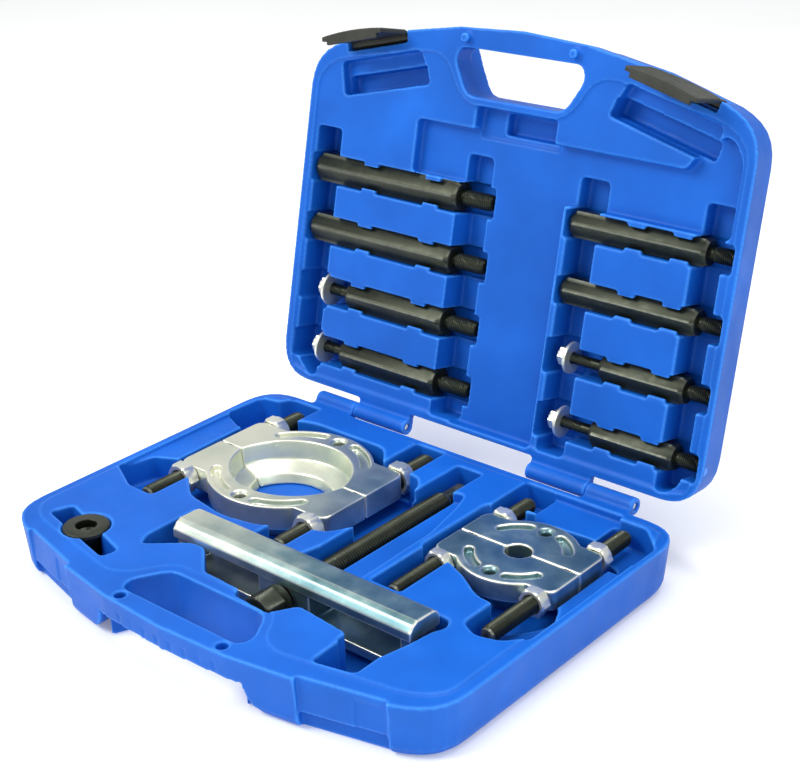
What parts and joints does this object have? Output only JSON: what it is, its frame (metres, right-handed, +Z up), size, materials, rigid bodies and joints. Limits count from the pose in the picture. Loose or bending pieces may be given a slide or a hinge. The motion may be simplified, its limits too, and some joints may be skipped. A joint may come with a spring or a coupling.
{
  "type": "gear puller set",
  "caption": "Bearing separators, a crossbar puller with its forcing screw, a pilot cone and extension rods in a moulded case with a hinged lid.",
  "frame": {"origin": "centre of the case's underside, which lies on the bench", "axes": "+X along the hinge line to the right as seen from the handle, +Y from the handle to the hinge, +Z up"},
  "size_m": [0.3448, 0.3578, 0.2979],
  "materials": {
    "blue_plastic": "satin blow-moulded blue polyethylene",
    "latch_plastic": "satin black with fine ribs",
    "zinc_steel": "zinc-plated forged steel",
    "black_steel": "black oxide, oiled",
    "bright_steel": "bright zinc"
  },
  "bodies": {
    "base": {"case_base": "blue_plastic", "hinge_pin_left": "bright_steel", "hinge_pin_right": "bright_steel"},
    "lid": {"case_lid": "blue_plastic", "latch_pin_left": "bright_steel", "latch_pin_right": "bright_steel"},
    "latch_left": {"latch_left": "latch_plastic"},
    "latch_right": {"latch_right": "latch_plastic"},
    "large_separator": {"large_separator_rear": "zinc_steel", "large_stud_left": "black_steel", "large_stud_right": "black_steel", "large_nut_rear_left": "bright_steel", "large_nut_rear_right": "bright_steel"},
    "large_separator_front": {"large_separator_front": "zinc_steel"},
    "large_front_nut_left": {"large_nut_front_left": "bright_steel"},
    "large_front_nut_right": {"large_nut_front_right": "bright_steel"},
    "small_separator": {"small_separator_rear": "zinc_steel", "small_stud_left": "black_steel", "small_stud_right": "black_steel", "small_nut_rear_left": "bright_steel", "small_nut_rear_right": "bright_steel"},
    "small_separator_front": {"small_separator_front": "zinc_steel"},
    "small_front_nut_left": {"small_nut_front_left": "bright_steel"},
    "small_front_nut_right": {"small_nut_front_right": "bright_steel"},
    "yoke": {"yoke": "zinc_steel"},
    "screw_tip": {"screw_tip": "black_steel"},
    "forcing_screw": {"forcing_screw": "black_steel"},
    "pilot_cone": {"pilot_cone": "black_steel"},
    "large_rod_1": {"large_rod_1": "black_steel"},
    "large_rod_2": {"large_rod_2": "black_steel"},
    "large_rod_3": {"large_rod_3": "black_steel"},
    "large_washer_3": {"large_washer_3": "bright_steel"},
    "large_rod_nut_3": {"large_rod_nut_3": "bright_steel"},
    "large_rod_4": {"large_rod_4": "black_steel"},
    "large_washer_4": {"large_washer_4": "bright_steel"},
    "large_rod_nut_4": {"large_rod_nut_4": "bright_steel"},
    "small_rod_1": {"small_rod_1": "black_steel"},
    "small_rod_2": {"small_rod_2": "black_steel"},
    "small_rod_3": {"small_rod_3": "black_steel"},
    "small_washer_3": {"small_washer_3": "bright_steel"},
    "small_rod_nut_3": {"small_rod_nut_3": "bright_steel"},
    "small_rod_4": {"small_rod_4": "black_steel"},
    "small_washer_4": {"small_washer_4": "bright_steel"},
    "small_rod_nut_4": {"small_rod_nut_4": "bright_steel"}
  },
  "joints": [
    {"name": "lid_hinge", "type": "hinge", "parent": "base", "child": "lid", "pos_m": [0, 0.132, 0.034], "axis": [-1, 0, 0], "range_deg": [-103, 0]},
    {"name": "latch_left_hinge", "type": "hinge", "parent": "lid", "child": "latch_left", "pos_m": [-0.1175, 0.19528, 0.27699], "axis": [-0.9724, -0.0525, -0.2275], "range_deg": [0, 95]},
    {"name": "latch_right_hinge", "type": "hinge", "parent": "lid", "child": "latch_right", "pos_m": [0.1175, 0.19528, 0.27699], "axis": [-0.9724, 0.0525, 0.2275], "range_deg": [0, 95]},
    {"name": "large_separator_lift", "type": "slide", "parent": "base", "child": "large_separator", "axis": [0, 0, 1], "range_m": [0, 0.06]},
    {"name": "large_separator_open", "type": "slide", "parent": "large_separator", "child": "large_separator_front", "axis": [0, -1, 0], "range_m": [0, 0.0045]},
    {"name": "large_front_nut_left_spin", "type": "hinge", "parent": "large_separator_front", "child": "large_front_nut_left", "pos_m": [-0.131, 0.002, 0.0256], "axis": [0, -1, 0], "range_deg": [0, 1085]},
    {"name": "large_front_nut_right_spin", "type": "hinge", "parent": "large_separator_front", "child": "large_front_nut_right", "pos_m": [-0.018, 0.002, 0.0256], "axis": [0, -1, 0], "range_deg": [0, 1085]},
    {"name": "small_separator_lift", "type": "slide", "parent": "base", "child": "small_separator", "axis": [0, 0, 1], "range_m": [0, 0.06]},
    {"name": "small_separator_open", "type": "slide", "parent": "small_separator", "child": "small_separator_front", "axis": [0, -1, 0], "range_m": [0, 0.00375]},
    {"name": "small_front_nut_left_spin", "type": "hinge", "parent": "small_separator_front", "child": "small_front_nut_left", "pos_m": [0.0715, 0.007, 0.0268], "axis": [0, -1, 0], "range_deg": [0, 1085]},
    {"name": "small_front_nut_right_spin", "type": "hinge", "parent": "small_separator_front", "child": "small_front_nut_right", "pos_m": [0.1405, 0.007, 0.0268], "axis": [0, -1, 0], "range_deg": [0, 1085]},
    {"name": "yoke_lift", "type": "slide", "parent": "base", "child": "yoke", "axis": [0, 0, 1], "range_m": [0, 0.07]},
    {"name": "screw_travel", "type": "slide", "parent": "yoke", "child": "screw_tip", "axis": [0, 1, 0], "range_m": [-0.003, 0.0008]},
    {"name": "screw_turn", "type": "hinge", "parent": "screw_tip", "child": "forcing_screw", "pos_m": [0.022, 0, 0.0235], "axis": [0, 1, 0], "range_deg": [-545, 150]},
    {"name": "pilot_cone_lift", "type": "slide", "parent": "base", "child": "pilot_cone", "axis": [0, 0, 1], "range_m": [0, 0.05]},
    {"name": "large_rod_1_lift", "type": "slide", "parent": "lid", "child": "large_rod_1", "axis": [0, -0.9744, 0.225], "range_m": [0, 0.03]},
    {"name": "large_rod_2_lift", "type": "slide", "parent": "lid", "child": "large_rod_2", "axis": [0, -0.9744, 0.225], "range_m": [0, 0.03]},
    {"name": "large_rod_3_lift", "type": "slide", "parent": "lid", "child": "large_rod_3", "axis": [0, -0.9744, 0.225], "range_m": [0, 0.03]},
    {"name": "large_washer_3_travel", "type": "slide", "parent": "large_rod_3", "child": "large_washer_3", "axis": [1, 0, 0], "range_m": [-0.00375, 0]},
    {"name": "large_rod_nut_3_turn", "type": "hinge", "parent": "large_washer_3", "child": "large_rod_nut_3", "pos_m": [0, 0.16137, 0.10522], "axis": [1, 0, 0], "range_deg": [-1085, 0]},
    {"name": "large_rod_4_lift", "type": "slide", "parent": "lid", "child": "large_rod_4", "axis": [0, -0.9744, 0.225], "range_m": [0, 0.03]},
    {"name": "large_washer_4_travel", "type": "slide", "parent": "large_rod_4", "child": "large_washer_4", "axis": [1, 0, 0], "range_m": [-0.00375, 0]},
    {"name": "large_rod_nut_4_turn", "type": "hinge", "parent": "large_washer_4", "child": "large_rod_nut_4", "pos_m": [0, 0.15193, 0.06429], "axis": [1, 0, 0], "range_deg": [-1085, 0]},
    {"name": "small_rod_1_lift", "type": "slide", "parent": "lid", "child": "small_rod_1", "axis": [0, -0.9744, 0.225], "range_m": [0, 0.03]},
    {"name": "small_rod_2_lift", "type": "slide", "parent": "lid", "child": "small_rod_2", "axis": [0, -0.9744, 0.225], "range_m": [0, 0.03]},
    {"name": "small_rod_3_lift", "type": "slide", "parent": "lid", "child": "small_rod_3", "axis": [0, -0.9744, 0.225], "range_m": [0, 0.03]},
    {"name": "small_washer_3_travel", "type": "slide", "parent": "small_rod_3", "child": "small_washer_3", "axis": [1, 0, 0], "range_m": [-0.00375, 0]},
    {"name": "small_rod_nut_3_turn", "type": "hinge", "parent": "small_washer_3", "child": "small_rod_nut_3", "pos_m": [0, 0.16079, 0.10535], "axis": [1, 0, 0], "range_deg": [-1085, 0]},
    {"name": "small_rod_4_lift", "type": "slide", "parent": "lid", "child": "small_rod_4", "axis": [0, -0.9744, 0.225], "range_m": [0, 0.03]},
    {"name": "small_washer_4_travel", "type": "slide", "parent": "small_rod_4", "child": "small_washer_4", "axis": [1, 0, 0], "range_m": [-0.00375, 0]},
    {"name": "small_rod_nut_4_turn", "type": "hinge", "parent": "small_washer_4", "child": "small_rod_nut_4", "pos_m": [0, 0.15134, 0.06443], "axis": [1, 0, 0], "range_deg": [-1085, 0]}
  ],
  "couplings": [
    {"joint": "large_front_nut_left_spin", "follows": "large_separator_open", "rad_per_m": 4188.8},
    {"joint": "large_front_nut_right_spin", "follows": "large_separator_open", "rad_per_m": 4188.8},
    {"joint": "small_front_nut_left_spin", "follows": "small_separator_open", "rad_per_m": 5026.5},
    {"joint": "small_front_nut_right_spin", "follows": "small_separator_open", "rad_per_m": 5026.5},
    {"joint": "screw_turn", "follows": "screw_travel", "rad_per_m": 3141.6},
    {"joint": "large_rod_nut_3_turn", "follows": "large_washer_3_travel", "rad_per_m": 5026.5},
    {"joint": "large_rod_nut_4_turn", "follows": "large_washer_4_travel", "rad_per_m": 5026.5},
    {"joint": "small_rod_nut_3_turn", "follows": "small_washer_3_travel", "rad_per_m": 5026.5},
    {"joint": "small_rod_nut_4_turn", "follows": "small_washer_4_travel", "rad_per_m": 5026.5}
  ]
}
